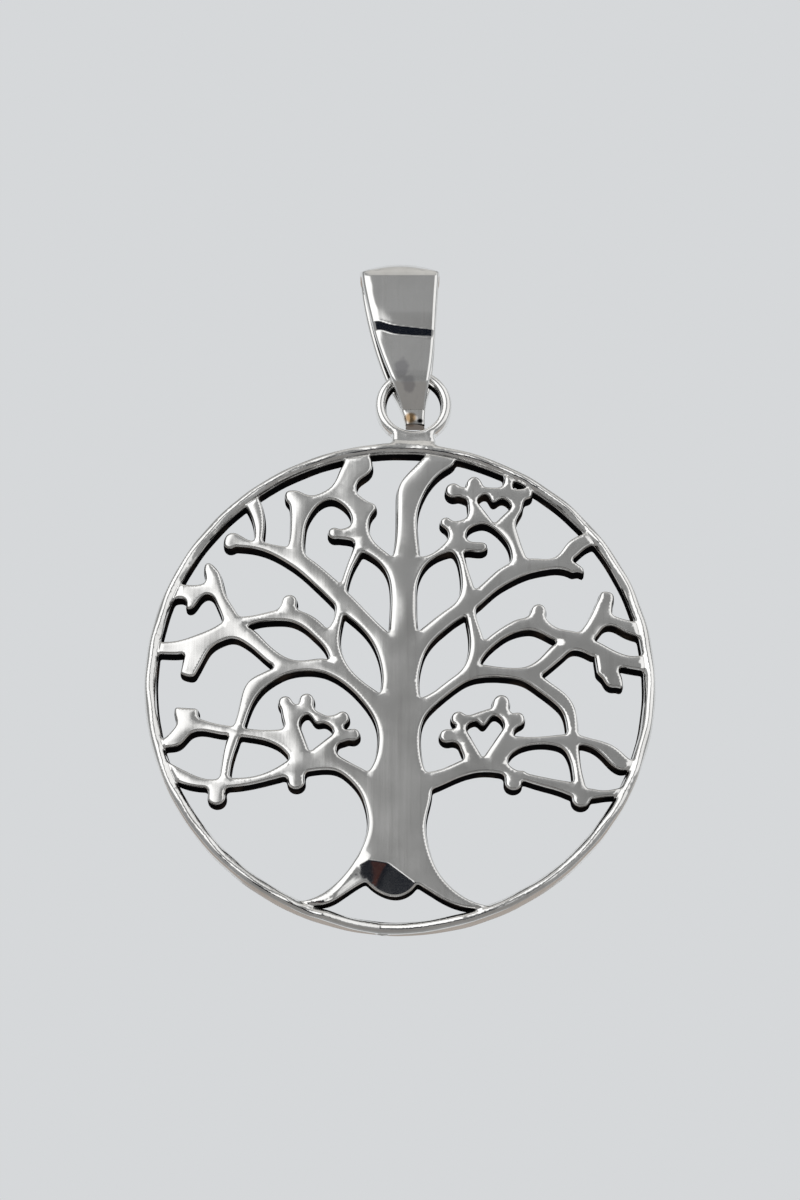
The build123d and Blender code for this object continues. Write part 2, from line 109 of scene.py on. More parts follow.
# %% A socket in an expression
class Value:
    """A socket that takes part in Python expressions."""

    def __init__(self, finish, socket):
        self.finish = finish
        self.socket = socket

    def maths(self, operation, *others):
        node = self.finish.tree.nodes.new("ShaderNodeMath")
        node.operation = operation
        for slot, value in enumerate((self, *others)):
            self.finish.feed(node.inputs[slot], value)
        return Value(self.finish, node.outputs[0])

    def __add__(self, other):
        return self.maths("ADD", other)

    __radd__ = __add__

    def __mul__(self, other):
        return self.maths("MULTIPLY", other)

    __rmul__ = __mul__

    def __sub__(self, other):
        return self.maths("SUBTRACT", other)

    def __rsub__(self, other):
        return (self * -1) + other

    def between(self, low, high):
        """0 below low, 1 above high, smooth in between."""
        return self.finish.node("ShaderNodeMapRange", {"interpolation_type": "SMOOTHSTEP"},
                                Value=self, From_Min=low, From_Max=high)


# %% A material and its nodes
class Finish:
    """A material, with one method that makes any node and a few for what is used often."""

    def __init__(self, name):
        self.material = bpy.data.materials.new(name)
        self.material.use_nodes = True
        self.tree = self.material.node_tree
        self.shader = self.tree.nodes["Principled BSDF"]

    def feed(self, socket, value):
        if isinstance(value, Value):
            self.tree.links.new(value.socket, socket)
        elif isinstance(value, bpy.types.NodeSocket):
            self.tree.links.new(value, socket)
        else:
            socket.default_value = value

    def node(self, kind, settings=None, output=0, **sockets):
        node = self.tree.nodes.new(kind)
        for name, value in (settings or {}).items():
            setattr(node, name, value)
        for name, value in sockets.items():
            self.feed(node.inputs[name.replace("_", " ")], value)
        return Value(self, node.outputs[output])

    def place(self, stretch=(1, 1, 1)):
        """The piece's own coordinates, stretched."""
        spot = self.node("ShaderNodeTexCoord", output="Object")
        return self.node("ShaderNodeMapping", Vector=spot, Scale=stretch)

    def noise(self, scale, stretch=(1, 1, 1), detail=3.0, rough=0.5):
        return self.node("ShaderNodeTexNoise", Vector=self.place(stretch), Scale=scale,
                         Detail=detail, Roughness=rough)

    def spot(self, centre, radii):
        """Distance from a spot's centre, given in mm, that is 1 on the spot's own border."""
        place = self.node("ShaderNodeTexCoord", output="Object")
        share = self.node("ShaderNodeVectorMath", {"operation": "SUBTRACT"})
        self.feed(share.socket.node.inputs[0], place)
        share.socket.node.inputs[1].default_value = [MM * value for value in centre]
        scaled = self.node("ShaderNodeVectorMath", {"operation": "DIVIDE"})
        self.feed(scaled.socket.node.inputs[0], share)
        scaled.socket.node.inputs[1].default_value = [MM * value for value in radii]
        return self.node("ShaderNodeVectorMath", {"operation": "LENGTH"}, output="Value",
                         Vector=scaled)

    def attribute(self, name):
        return self.node("ShaderNodeAttribute", {"attribute_name": name}, output="Fac")

    def blend(self, share, low, high):
        """A colour between two, by share."""
        node = self.tree.nodes.new("ShaderNodeMix")
        node.data_type = "RGBA"
        self.feed(node.inputs["Factor"], share)
        self.feed(node.inputs[6], low)
        self.feed(node.inputs[7], high)
        return Value(self, node.outputs[2])

    def bump(self, height, strength, depth):
        self.feed(self.shader.inputs["Normal"],
                  self.node("ShaderNodeBump", Height=height, Strength=strength, Distance=depth))

    def set(self, **sockets):
        for name, value in sockets.items():
            self.feed(self.shader.inputs[name.replace("_", " ")], value)


# %% [markdown]
# The real tree is one cast and sawn plate, and its outline is already in the solid. It could be
# drawn a second time, but a cut through the middle of the solid's depth gives the same lines
# for nothing: one round the outside with the eye, and one round each gap and heart.

# %% Cut through a solid
same_point = 1e-7
section_depth = -0.10


def section(node, place, facing):
    """The mesh of a CAD node's cut by a plane, with the cut's corners and edges."""
    cut = bmesh.new()
    cut.from_mesh(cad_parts[node].data)
    bmesh.ops.remove_doubles(cut, verts=cut.verts, dist=same_point)
    found = bmesh.ops.bisect_plane(
        cut, geom=cut.verts[:] + cut.edges[:] + cut.faces[:], plane_co=place, plane_no=facing,
        clear_inner=True, clear_outer=True)["geom_cut"]
    corners = [item for item in found if isinstance(item, bmesh.types.BMVert)]
    edges = [item for item in found if isinstance(item, bmesh.types.BMEdge)]
    return cut, corners, edges


def edges_by_corner(edges):
    joined = {}
    for edge in edges:
        for vert in edge.verts:
            joined.setdefault(vert, []).append(edge)
    return joined


def section_loops(node, depth):
    """Closed outlines, in mm across and up, where a CAD node is cut at this depth."""
    cut, _, edges = section(node, (0, depth * MM, 0), (0, 1, 0))
    joined = edges_by_corner(edges)
    loops = []
    left = dict.fromkeys(sorted(edges, key=lambda e: (round(e.verts[0].co.x, 8), e.verts[0].co.z)))
    while left:
        edge = next(iter(left))
        del left[edge]
        start, vert = edge.verts
        line = [start, vert]
        while vert is not start:
            onward = [e for e in joined[vert] if e in left]
            if not onward:
                break
            del left[onward[0]]
            vert = onward[0].other_vert(vert)
            line.append(vert)
        loops.append(np.array([(v.co.x / MM, v.co.z / MM) for v in line[:-1]]))
    cut.free()
    return loops


# %% [markdown]
# Casting and polishing soften every sawn corner. A Bevel would need clean corners to work on,
# so the lines themselves are given even points and relaxed. Each step in is followed by a
# smaller step out, or the thin twigs would shrink.

# %% Even and soften a line
outline_step = 0.12
softening_rounds = 4
last_rounds = 2
relaxing_steps = (0.5, -0.46)
fewest_points = 12


def evened(loop, step):
    """The same closed line with points at an even step."""
    closed = np.vstack([loop, loop[:1]])
    run = np.concatenate([[0], np.cumsum(np.hypot(*np.diff(closed, axis=0).T))])
    count = max(fewest_points, int(round(run[-1] / step)))
    marks = np.arange(count) * run[-1] / count
    return np.column_stack([np.interp(marks, run, closed[:, k]) for k in (0, 1)])


def softened(loop, rounds):
    """Corners rounded, with the loop's size kept by a step back after each step in."""
    for _ in range(rounds):
        for pull in relaxing_steps:
            ahead = np.roll(loop, -1, axis=0)
            behind = np.roll(loop, 1, axis=0)
            loop = loop + pull * ((ahead + behind) / 2 - loop)
    return loop


def ramp(value, low, high):
    """0 below low, 1 above high, smooth in between."""
    share = np.clip((value - low) / (high - low), 0, 1)
    return share * share * (3 - 2 * share)


# %% [markdown]
# Three marks of the maker's hand change the outline by a tenth or two of a millimetre: the
# ring's filed edge wavers, the petals, pegs and twigs end in round knobs, and the neck flares
# softly into the ring. Each pushes the line's own points, so nothing has to be joined on.

# %% The ring's filed edge
reach = disc_radius / MM
centre_mm = disc_centre.z / MM
ring_width = 0.8
ring_waver = 0.05
ring_inner = reach - ring_width
waver_waves = ((17, 0.7), (29, 2.1), (41, 0.0))


def hand_worn(loop):
    """The ring's edges waver a little in and out, as filed by hand."""
    x, up = loop[:, 0], loop[:, 1] - centre_mm
    radius = np.hypot(x, up)
    turn = np.arctan2(x, up)
    on_ring = ramp(radius, ring_inner - 0.1, ring_inner) * (1 - ramp(radius, reach, reach + 0.3))
    waver = sum(np.sin(pace * turn + phase) for pace, phase in waver_waves) / len(waver_waves)
    scale = 1 - on_ring * ring_waver * (0.6 + 0.4 * waver) / radius
    return np.column_stack([x * scale, up * scale + centre_mm])


# %% Knobs and the neck's flare
# Round ends of the petals, pegs and twigs, and the stems that need more width behind four of
# them: across, up and radius, in shares of the disc radius.
stems = [(0.203, -0.226, 0.028), (0.387, -0.115, 0.033), (0.437, -0.172, 0.029),
         (0.776, 0.072, 0.030), (0.786, 0.060, 0.032), (0.797, 0.047, 0.033), (0.808, 0.033, 0.033),
         (0.820, 0.016, 0.033)]
knobs = [
    (0.183, 0.655, 0.023), (0.213, 0.792, 0.032), (0.296, 0.815, 0.033), (0.506, 0.778, 0.024),
    (-0.446, -0.094, 0.028), (-0.364, -0.085, 0.030), (-0.225, -0.155, 0.028),
    (-0.182, -0.223, 0.026), (0.182, -0.228, 0.029), (0.228, -0.158, 0.030),
    (0.394, -0.095, 0.034), (0.456, -0.160, 0.029), (-0.706, -0.470, 0.034),
    (-0.400, -0.410, 0.032), (0.437, -0.413, 0.033), (0.697, -0.478, 0.036),
    (0.832, 0.000, 0.034), (0.704, 0.420, 0.028), (0.816, 0.336, 0.028), (0.546, 0.283, 0.030),
    (-0.435, 0.322, 0.029), (-0.753, 0.450, 0.022), (-0.432, 0.759, 0.025),
    (-0.675, 0.567, 0.025), (-0.261, 0.610, 0.024)]
knob_zone = (1.1, 1.7)
knob_push = 0.9
knob_pull = 0.4
neck_foot = (0.092, 0.996)
flare_zone = (0.3, 0.9)
flare_strides = (5, 4, 3, 2, 1, 1)


def knobbed(loop):
    """The line drawn out to a round end at each knob, and a little in to it from outside."""
    for (across, up, radius), pull in [(s, 0) for s in stems] + [(k, knob_pull) for k in knobs]:
        away = loop - (across * reach, up * reach + centre_mm)
        distance = np.maximum(np.linalg.norm(away, axis=1), 1e-6)
        near = 1 - ramp(distance / reach, knob_zone[0] * radius, knob_zone[1] * radius)
        push = radius * reach / distance - 1
        loop = loop + away * (near * np.where(push > 0, knob_push, pull) * push)[:, None]
    return loop


def flared(loop):
    """The corners at the neck's foot filled with a soft flare."""
    away = np.column_stack([np.abs(loop[:, 0]) - neck_foot[0] * reach,
                            loop[:, 1] - neck_foot[1] * reach - centre_mm])
    near = 1 - ramp(np.linalg.norm(away, axis=1), *flare_zone)
    for stride in flare_strides:
        between = (np.roll(loop, stride, axis=0) + np.roll(loop, -stride, axis=0)) / 2
        loop = loop + near[:, None] * (between - loop)
    return loop


# %% Gather the outlines
smallest_loop = 6
loops = []
for rough_loop in section_loops("tree_pendant", section_depth):
    if len(rough_loop) > smallest_loop:
        smooth = softened(evened(rough_loop, outline_step), softening_rounds)
        smooth = softened(flared(evened(knobbed(smooth), outline_step)), last_rounds)
        loops.append(evened(hand_worn(smooth), outline_step))
loops.sort(key=lambda loop: -np.ptp(loop[:, 0]))
print("outlines", len(loops), "points", sum(len(loop) for loop in loops))

# %% [markdown]
# The front is a skin over those outlines. Filling them with one big face would leave nothing
# to shape, so the skin gets points of its own. Rows follow each edge inwards, close together,
# so that the rounded edge is smooth. More rows follow the seam where the tree meets the ring
# and the border of the ground facet, and an even net of points fills the middle.

# %% Where the edges are
def signed_area(loop):
    ahead = np.roll(loop, -1, axis=0)
    return 0.5 * np.sum(loop[:, 0] * ahead[:, 1] - ahead[:, 0] * loop[:, 1])


def inward(loop, is_outer):
    """Unit normals that point into the metal."""
    along = np.roll(loop, -1, axis=0) - np.roll(loop, 1, axis=0)
    normal = np.column_stack([-along[:, 1], along[:, 0]])
    normal /= np.linalg.norm(normal, axis=1)[:, None]
    turn = 1 if signed_area(loop) > 0 else -1
    return normal * turn * (1 if is_outer else -1)


def tree_of(points):
    """A search tree that finds the nearest of these points."""
    tree = kdtree.KDTree(len(points))
    for index, (x, z) in enumerate(points):
        tree.insert((x, z, 0), index)
    tree.balance()
    return tree


edge_points = np.vstack(loops)
edge_count = len(edge_points)
fine_loops = [evened(loop, outline_step / 3) for loop in loops]
fine_outward = -np.vstack([inward(loop, number == 0) for number, loop in enumerate(fine_loops)])
edge_tree = tree_of(np.vstack(fine_loops))


def edge_distance(points):
    return np.array([edge_tree.find((x, z, 0))[2] for x, z in points])


def edge_facing(points):
    """The way out of the metal at the nearest edge, across and up."""
    return fine_outward[[edge_tree.find((x, z, 0))[1] for x, z in points]]


def apart(points, placed, gap):
    """The points that lie further than a gap from every placed point."""
    return points[np.array([placed.find((x, z, 0))[2] > gap for x, z in points])]


# %% Rows that follow the edges
edge_rows = (0.03, 0.075, 0.13, 0.20, 0.29, 0.42)
close_rows = 0.2
row_gap = 0.4 * outline_step
skin_points = [edge_points]
for offset in edge_rows:
    row = np.vstack([loop + inward(loop, number == 0) * offset
                     for number, loop in enumerate(loops)])
    row = row[edge_distance(row) > offset * 0.9]
    row = apart(row, tree_of(np.vstack(skin_points)), row_gap)
    skin_points.append(row[:: 1 if offset < close_rows else 2])
print("rows", [len(row) for row in skin_points])

# %% Rows along the ring's seam and the facet's border
seam_rows = (-0.16, -0.08, 0.0, 0.08, 0.16, 0.4)
seam_step = 0.16
seam_gap = 0.06
facet_rows = (-0.09, -0.025, 0.025, 0.09)
facet_corners = [(-0.190, -0.775), (-0.165, -0.738), (-0.118, -0.720), (-0.045, -0.732),
                 (0.060, -0.812)]
placed = tree_of(np.vstack(skin_points))
for offset in seam_rows:
    turns = np.arange(0, 2 * math.pi, seam_step / reach)
    ring_row = (ring_inner + offset) * np.column_stack([np.sin(turns), np.cos(turns)])
    ring_row = ring_row + (0, centre_mm)
    ring_row = ring_row[edge_distance(ring_row) > seam_gap]
    skin_points.append(apart(ring_row, placed, seam_gap))
for corner, following in zip(facet_corners, facet_corners[1:]):
    start, run = np.array(corner) * reach, np.subtract(following, corner) * reach
    length = np.linalg.norm(run)
    shares = np.arange(0.06, length, seam_step) / length
    for offset in facet_rows:
        aside = offset * np.array([run[1], -run[0]]) / length
        row = start + shares[:, None] * run + aside + (0, centre_mm)
        skin_points.append(row[edge_distance(row) > seam_gap])

# %% The net in the middle
net_step = 0.30
net_row_step = net_step * 0.87
net_gap = 0.2
edge_margin = 0.1
above_disc = 6
placed = tree_of(np.vstack(skin_points))
across, up = np.meshgrid(np.arange(-reach, reach, net_step),
                         np.arange(-reach, reach + above_disc, net_row_step))
across[1::2] += net_step / 2
net = np.column_stack([across.ravel(), up.ravel() + centre_mm])
net = net[edge_distance(net) > edge_rows[-1] + edge_margin]
skin_points.append(apart(net, placed, net_gap))
print("net", len(skin_points[-1]), "points")

# %% [markdown]
# A constrained triangulation joins the points and keeps every outline as an edge. It fills the
# gaps too, so the metal is found by spreading from the outlines' inner side, as a flood fill
# does, and the rest is left out.

# %% Join the points
outline_edges = []
first = 0
for loop in loops:
    count = len(loop)
    outline_edges += [(first + k, first + (k + 1) % count) for k in range(count)]
    first += count
flat, _, faces, _, _, _ = delaunay_2d_cdt(
    [Vector(p) for p in np.vstack(skin_points)], outline_edges, [], 0, 1e-6)
flat = np.array(flat)


def metal_only(faces):
    """The triangles on the metal's side of the outlines, found by spreading from the edges."""
    fence = set(outline_edges) | {(b, a) for a, b in outline_edges}
    side = {}
    for number, face in enumerate(faces):
        for a, b in zip(face, (face[1], face[2], face[0])):
            side[(a, b)] = number
    metal = set()
    first = 0
    for number, loop in enumerate(loops):
        count = len(loop)
        forward = (signed_area(loop) > 0) == (number == 0)
        for k in range(count):
            a, b = first + k, first + (k + 1) % count
            metal.add(side.get((a, b) if forward else (b, a), -1))
        first += count
    metal.discard(-1)
    spreading = list(metal)
    while spreading:
        face = faces[spreading.pop()]
        for a, b in zip(face, (face[1], face[2], face[0])):
            beyond = side.get((b, a))
            if (a, b) not in fence and beyond is not None and beyond not in metal:
                metal.add(beyond)
                spreading.append(beyond)
    return np.array([faces[number] for number in sorted(metal)])


faces = metal_only(faces)
print("skin points", len(flat), "triangles", len(faces))

# %% [markdown]
# The real casting isn't a flat plate. Each branch is a low dome with a rounded edge, the
# surface drifts a little from hand polishing, and a facet is ground at the trunk's foot. Bump
# would only shade these. Silver shows the room in every slope, so they are real shape here:
# one function gives the depth of the front and the back at any point.

# %% Slow waves and the ground facet
facet_slope = math.tan(math.radians(15.5))
front_mm = front_y / MM


def drift(points, pace, phase):
    """A slow smooth wave, different in each direction."""
    x, z = points.T
    return (np.sin(x * 0.61 * pace + 1.7 * phase) * np.sin(z * 0.53 * pace + phase)
            + 0.6 * np.sin((x + z) * 1.13 * pace + 2.3 * phase)
            + 0.4 * np.sin((x - 0.7 * z) * 1.91 * pace + 0.9 * phase)) / 2


def below_facet_line(shares):
    """How far each point lies past every line of the ground facet, in mm, or 0 outside it."""
    depth = np.full(len(shares), np.inf)
    for (x0, z0), (x1, z1) in zip(facet_corners, facet_corners[1:]):
        length = math.hypot(x1 - x0, z1 - z0)
        past = ((shares[:, 0] - x0) * (z1 - z0) - (shares[:, 1] - z0) * (x1 - x0)) / length
        depth = np.minimum(depth, past * reach)
    return np.clip(depth, 0, None)


def near_line(shares, ends):
    """Distance to a straight line between two ends, in shares of the disc radius."""
    along = ends[1] - ends[0]
    place = np.clip(((shares - ends[0]) @ along) / (along @ along), 0, 1)
    return np.linalg.norm(shares - ends[0] - place[:, None] * along, axis=1)


# %% [markdown]
# The rim is a wire of its own on such pendants, bowed across its width and a little twisted
# where the maker bent it round the tree, with a seam where the two were soldered.

# %% Ring and seam
ring_bow = 0.13
ring_twist = 0.22
ring_ripple = 0.03
seam_depth = 0.12
seam_width = 0.085
seam_inside = 0.04
seam_fades = (35, 75)


def seam_share(points):
    """1 in the seam between the tree and the ring, strongest at the top, to 0 away from it."""
    radius = np.hypot(points[:, 0], points[:, 1] - centre_mm)
    turn = np.degrees(np.abs(np.arctan2(points[:, 0], points[:, 1] - centre_mm)))
    strength = 0.25 + 0.75 * (1 - ramp(turn, *seam_fades))
    return strength * np.exp(-((radius - reach + ring_width - seam_inside) / seam_width) ** 2)


def ring_shape(radius, turn, at_sides):
    """How far the ring's front falls back from its highest line, in mm."""
    from_middle = (radius - reach + ring_width / 2) / (ring_width / 2)
    twist = ring_twist * (0.25 + 0.75 * at_sides) * np.sin(9 * turn + 0.6) * np.sin(23 * turn)
    return (ring_bow * from_middle ** 2 + twist * 0.4 * from_middle
            + ring_ripple * np.sin(31 * turn + 1.0))


# %% [markdown]
# The polished edges tell which way they face: those that look down were left sharper, and the
# left root's outer edge was filed back into a broad flank. The eye and its neck are thinner
# than the ring.

# %% Rounded edges
edge_round = 0.24
less_below = 0.15
less_right = 0.06
wire_round = 0.30
flank_line = np.array([(-0.345, -0.872), (-0.190, -0.745)])
flank_zone = (0.03, 0.085)
flank_reach = 0.82
flank_slope = math.tan(math.radians(15))


def edge_drop(points, shares, distance, on_wire):
    """How far the front falls back beside an edge, in mm."""
    flank = 1 - ramp(near_line(shares, flank_line), *flank_zone)
    right_facing, up_facing = edge_facing(points).T
    rounding = (edge_round - less_below * np.clip(-up_facing, 0, 1)
                - less_right * np.clip(right_facing, 0, 1))
    rounding = rounding + (wire_round - rounding) * on_wire
    inside = np.clip(rounding - distance, 0, None)
    drop = rounding - np.sqrt(np.clip(rounding ** 2 - inside ** 2, 0, None))
    filed = flank * flank_slope * np.clip(flank_reach - distance, 0, None)
    return drop * (1 - 0.6 * flank) + filed


# %% Front and back of the metal
plate_thickness = 1.5
plate_step = 0.03
dome_rise = 0.030
dome_reach = 0.40
hand_drift = 0.026
trunk_drift = 0.006
eye_half_depth = 0.62
back_round_share = 0.8


def relief(points, distance):
    """Front and back of the metal, in mm along Y, at points across and up."""
    shares = (points - (0, centre_mm)) / reach
    radius = np.hypot(*shares.T) * reach
    turn = np.arctan2(*shares.T)
    at_eye = ramp(radius, reach, reach + 0.5)
    at_ring = ramp(radius, ring_inner - 0.15, ring_inner + 0.15)
    at_sides = ramp(np.abs(shares[:, 0]), 0.45, 0.85)
    on_trunk = (1 - ramp(np.abs(shares[:, 0]), 0.16, 0.30)) * (1 - ramp(shares[:, 1], 0.0, 0.25))
    drop = edge_drop(points, shares, distance, np.maximum(at_eye, at_ring))
    crown = dome_rise * (1 - 0.8 * on_trunk) * (1 - np.exp(-distance / dome_reach))
    sway = hand_drift + (trunk_drift - hand_drift) * on_trunk
    wave = sway * drift(points, 1.0, 0.4) * ramp(distance, 0.0, 0.5)
    bow = at_ring * (1 - at_eye) * ring_shape(radius, turn, at_sides)
    front = front_mm + (1 - at_eye) * plate_step + at_eye * (-front_mm - eye_half_depth)
    front = front + drop + (wave - crown) * (1 - at_eye) + np.clip(bow, -0.03, 0.3)
    front = front + facet_slope * below_facet_line(shares) + seam_depth * seam_share(points)
    back = front_mm + plate_thickness + at_ring * (-2 * front_mm - plate_thickness)
    back = back * (1 - at_eye) + at_eye * eye_half_depth
    return front, back - drop * back_round_share


distance = np.where(np.arange(len(flat)) < edge_count, 0.0, edge_distance(flat))
front, back = relief(flat, distance)
print("front from", round(front.min(), 2), "to", round(front.max(), 2), "mm")

# %% [markdown]
# The gaps have a slight draft, as castings need: each opening is a little narrower at the back,
# so its walls show from the front. The two skins are joined by rows of wall points that lean
# and swell a little, and an attribute says how much each point belongs to a wall. The oxide
# reads it. The same attribute also paints shade into the seam between the tree and the ring.

# %% Skins and walls
wall_rows = (0.16, 0.38, 0.62, 0.84)
wall_draft = 0.07
wall_swell = 0.02
seam_painted_shade = 0.75
front_edge_oxide = 0.35
back_edge_oxide = 0.8
outer_count = len(loops[0])
number_of = np.arange(len(flat))
is_gap_edge = (number_of >= outer_count) & (number_of < edge_count)
spread = np.zeros((len(flat), 2))
first = outer_count
for loop in loops[1:]:
    spread[first:first + len(loop)] = -inward(loop, False)
    first += len(loop)
back_flat = flat + spread * wall_draft
verts = [np.column_stack([flat[:, 0], front, flat[:, 1]]),
         np.column_stack([back_flat[:, 0], back, back_flat[:, 1]])]
# The seam between the tree and the ring gets painted shade here, strongest at the top.
wall = [seam_painted_shade * seam_share(flat), np.zeros(len(flat))]
wall[0][is_gap_edge] = np.maximum(wall[0][is_gap_edge], front_edge_oxide)
wall[1][is_gap_edge] = back_edge_oxide
back_start = len(flat)
polygons = [tuple(face) for face in faces]
polygons += [tuple(back_start + index for index in reversed(face)) for face in faces]
row_starts = [0]
for number, share in enumerate(wall_rows):
    swell = wall_swell * math.sin(math.pi * share)
    place = flat[:edge_count] + spread[:edge_count] * (wall_draft * share + swell)
    depth = front[:edge_count] * (1 - share) + back[:edge_count] * share
    verts.append(np.column_stack([place[:, 0], depth, place[:, 1]]))
    wall.append(np.where(np.arange(edge_count) >= outer_count, 1.0, 0.0))
    row_starts.append(2 * len(flat) + number * edge_count)
row_starts.append(back_start)
print("points", sum(len(row) for row in verts))

# %% Close the walls and build the mesh
directed = {(int(a), int(b)) for face in faces for a, b in zip(face, np.roll(face, -1))}
for a, b in outline_edges:
    if (a, b) in directed:
        a, b = b, a
    for top, low in zip(row_starts, row_starts[1:]):
        polygons.append((top + a, top + b, low + b, low + a))
mesh = bpy.data.meshes.new("tree_of_life")
mesh.from_pydata(np.vstack(verts) * MM, [], polygons)
mesh.validate()
tone = mesh.attributes.new("wall", "FLOAT", "POINT")
tone.data.foreach_set("value", np.concatenate(wall).astype(np.float32))
pendant = bpy.data.objects.new("tree_of_life", mesh)
scene.collection.objects.link(pendant)
shell = bmesh.new()
shell.from_mesh(mesh)
loose = [vert for vert in shell.verts if not vert.link_faces]
bmesh.ops.delete(shell, geom=loose, context="VERTS")
bmesh.ops.recalc_face_normals(shell, faces=shell.faces[:])
open_edges = sum(1 for edge in shell.edges if len(edge.link_faces) != 2)
for face in shell.faces:
    face.smooth = True
shell.to_mesh(mesh)
shell.free()
triangles = sum(len(p.vertices) - 2 for p in mesh.polygons)
print("pendant triangles", triangles, "open edges", open_edges)

# %% [markdown]
# Polished silver is bright metal with a little haze. Its colour hardly varies: what the eye
# sees is the room, broken by faint upright polishing streaks and soft unevenness. So the noise
# goes into the roughness and a slight bump, and only a few streaks darken the colour.

# %% Buffed silver
silver_light = (0.93, 0.925, 0.91, 1)
silver_grey = (0.80, 0.795, 0.78, 1)
silver_worn = (0.50, 0.49, 0.47, 1)
cloud_scale = 260
streak_scale = 3000
streak_stretch = (1, 1, 0.035)
streak_darkness = 0.55
bump_depth = 0.00003


def silver_finish(name, streaks):
    """Buffed silver, with streaks that run up the piece where the share of streaks says."""
    finish = Finish(name)
    cloud = finish.noise(cloud_scale, detail=4)
    streak = finish.noise(streak_scale, streak_stretch, detail=2)
    tone = finish.blend(cloud.between(0.35, 0.7), silver_light, silver_grey)
    tone = finish.blend(streak.between(0.52, 0.74) * streaks * streak_darkness, tone, silver_worn)
    finish.set(Base_Color=tone, Metallic=1.0, Roughness=0.04 + 0.07 * cloud + 0.05 * streak)
    finish.set(Specular_IOR_Level=0.0)
    finish.bump(streak * streaks + cloud * 0.5, 0.2, bump_depth)
    return finish


# %% [markdown]
# The pierced walls were left dark with oxide when the front was buffed. The oxide is a thin
# dull layer, so where it lies the metal gives way to a dark rough surface, and it thins out in
# patches and where it meets the polished edge. The wall attribute places it, and the same dark
# is laid in the seam round the ring as painted shade.

# %% Oxide in the walls, and painted shade in the ring's seam
# The oxide's tones also serve as painted shade in the ring's seam and under the bail's end.
oxide_and_shade_dark = (0.006, 0.006, 0.007, 1)
oxide_and_shade_brown = (0.060, 0.045, 0.035, 1)
patch_scale = 420
pendant_finish = silver_finish("tree_silver", 0.3)
wall_share = pendant_finish.attribute("wall")
patchy = pendant_finish.noise(patch_scale, detail=5, rough=0.6)
# This mask covers the oxide in the walls and the painted shade in the ring's seam.
oxide_and_seam_shade = (wall_share * 1.4 + (patchy - 0.5) * 1.3).between(0.40, 1.15)
clean = pendant_finish.shader.inputs["Base Color"].links[0].from_socket
dark = pendant_finish.blend(patchy.between(0.5, 0.8), oxide_and_shade_dark, oxide_and_shade_brown)
polished_roughness = 0.10 + 0.08 * patchy
oxide_roughness = 0.34 + 0.25 * patchy
pendant_finish.set(Base_Color=pendant_finish.blend(oxide_and_seam_shade, clean, dark),
                   Metallic=1.0 - oxide_and_seam_shade,
                   Roughness=polished_roughness * (1 - oxide_and_seam_shade) + oxide_and_seam_shade * oxide_roughness)
mesh.materials.append(pendant_finish.material)
print("materials", [material.name for material in mesh.materials])

# %% [markdown]
# The bail is one strip, wide at the fold and narrow where its two ends are soldered. A sheet
# could be bent with modifiers, but the strip's side view is known exactly from the solid, so
# the middle of its thickness is read there, half from the cut and half from its mirror.

# %% Middle of the strip's front leg
strip_thickness = 0.55
leg_bend = 0.235
seam_top = 0.095
cut_across = 0.9
bail_base = bail_low.z / MM
bail_height = bail_high.z / MM - bail_base


def front_leg():
    """The outer line of the strip's front, from the top down, in mm as depth and height."""
    cut, _, edges = section("bail", (cut_across * MM, 0, 0), (1, 0, 0))
    joined = edges_by_corner(edges)
    top = max(joined, key=lambda vert: vert.co.z)
    line = [top]
    seen = {top}
    vert = top
    while True:
        onward = [e.other_vert(vert) for e in joined[vert] if e.other_vert(vert) not in seen]
        if vert is top:
            onward = [o for o in onward if o.co.y < vert.co.y] or onward
        if not onward:
            break
        vert = onward[0]
        if abs(vert.co.z - bail_low.z) < 1e-6:
            break
        seen.add(vert)
        line.append(vert)
    leg = np.array([(v.co.y / MM, v.co.z / MM) for v in line])
    cut.free()
    return leg


leg = front_leg()
along = np.gradient(leg, axis=0)
along /= np.linalg.norm(along, axis=1)[:, None]
inner_side = np.column_stack([-along[:, 1], along[:, 0]])
if inner_side[len(leg) // 2, 0] < 0:
    inner_side = -inner_side
middle = leg + inner_side * strip_thickness / 2
middle[0] = (0, leg[0, 1] - strip_thickness / 2)
print("front leg", len(leg), "points")

# %% [markdown]
# Below a bend the strip runs straight to its soldered end, as a folded strip does. The points
# of the path fall exactly on the bends, so that the bends stay crisp.

# %% Path of the strip
path_step = 0.08
leg_share = (middle[:, 1] - bail_base) / bail_height
bend_depth = float(np.interp(leg_bend, leg_share[::-1], middle[::-1, 0]))
lower_leg = np.array([(bend_depth, leg_bend), (-strip_thickness / 2, seam_top),
                      (-strip_thickness / 2, 0.0)])
lower_leg[:, 1] = bail_base + lower_leg[:, 1] * bail_height
middle = np.vstack([middle[leg_share > leg_bend + 0.003], lower_leg])
path_points = np.vstack([middle[::-1], middle[1:] * (-1, 1)])
run = np.concatenate([[0], np.cumsum(np.hypot(*np.diff(path_points, axis=0).T))])
bends = run[[1, 2, -3, -2]]
marks = np.arange(0, run[-1], path_step)
marks = marks[np.abs(marks[:, None] - bends).min(axis=1) > path_step / 2]
marks = np.sort(np.concatenate([marks, bends, run[-1:]]))
path_points = np.column_stack([np.interp(marks, run, path_points[:, k]) for k in (0, 1)])
path_mesh = bpy.data.meshes.new("bail_path")
path_mesh.from_pydata([(0, y * MM, z * MM) for y, z in path_points],
                      [(k, k + 1) for k in range(len(path_points) - 1)], [])
bail = bpy.data.objects.new("folded_bail", path_mesh)
scene.collection.objects.link(bail)
strip_length = np.hypot(*np.diff(path_points, axis=0).T).sum()
print("strip length", round(float(strip_length), 1), "mm")

# %% Taper of the front view
measured_shares = (0.003, 0.94)
measures = 20


def bail_sides(height):
    """Left and right limits of the bail's solid at a height, in metres."""
    cut, corners, _ = section("bail", (0, 0, height), (0, 0, 1))
    across = [corner.co.x for corner in corners]
    cut.free()
    return min(across), max(across)


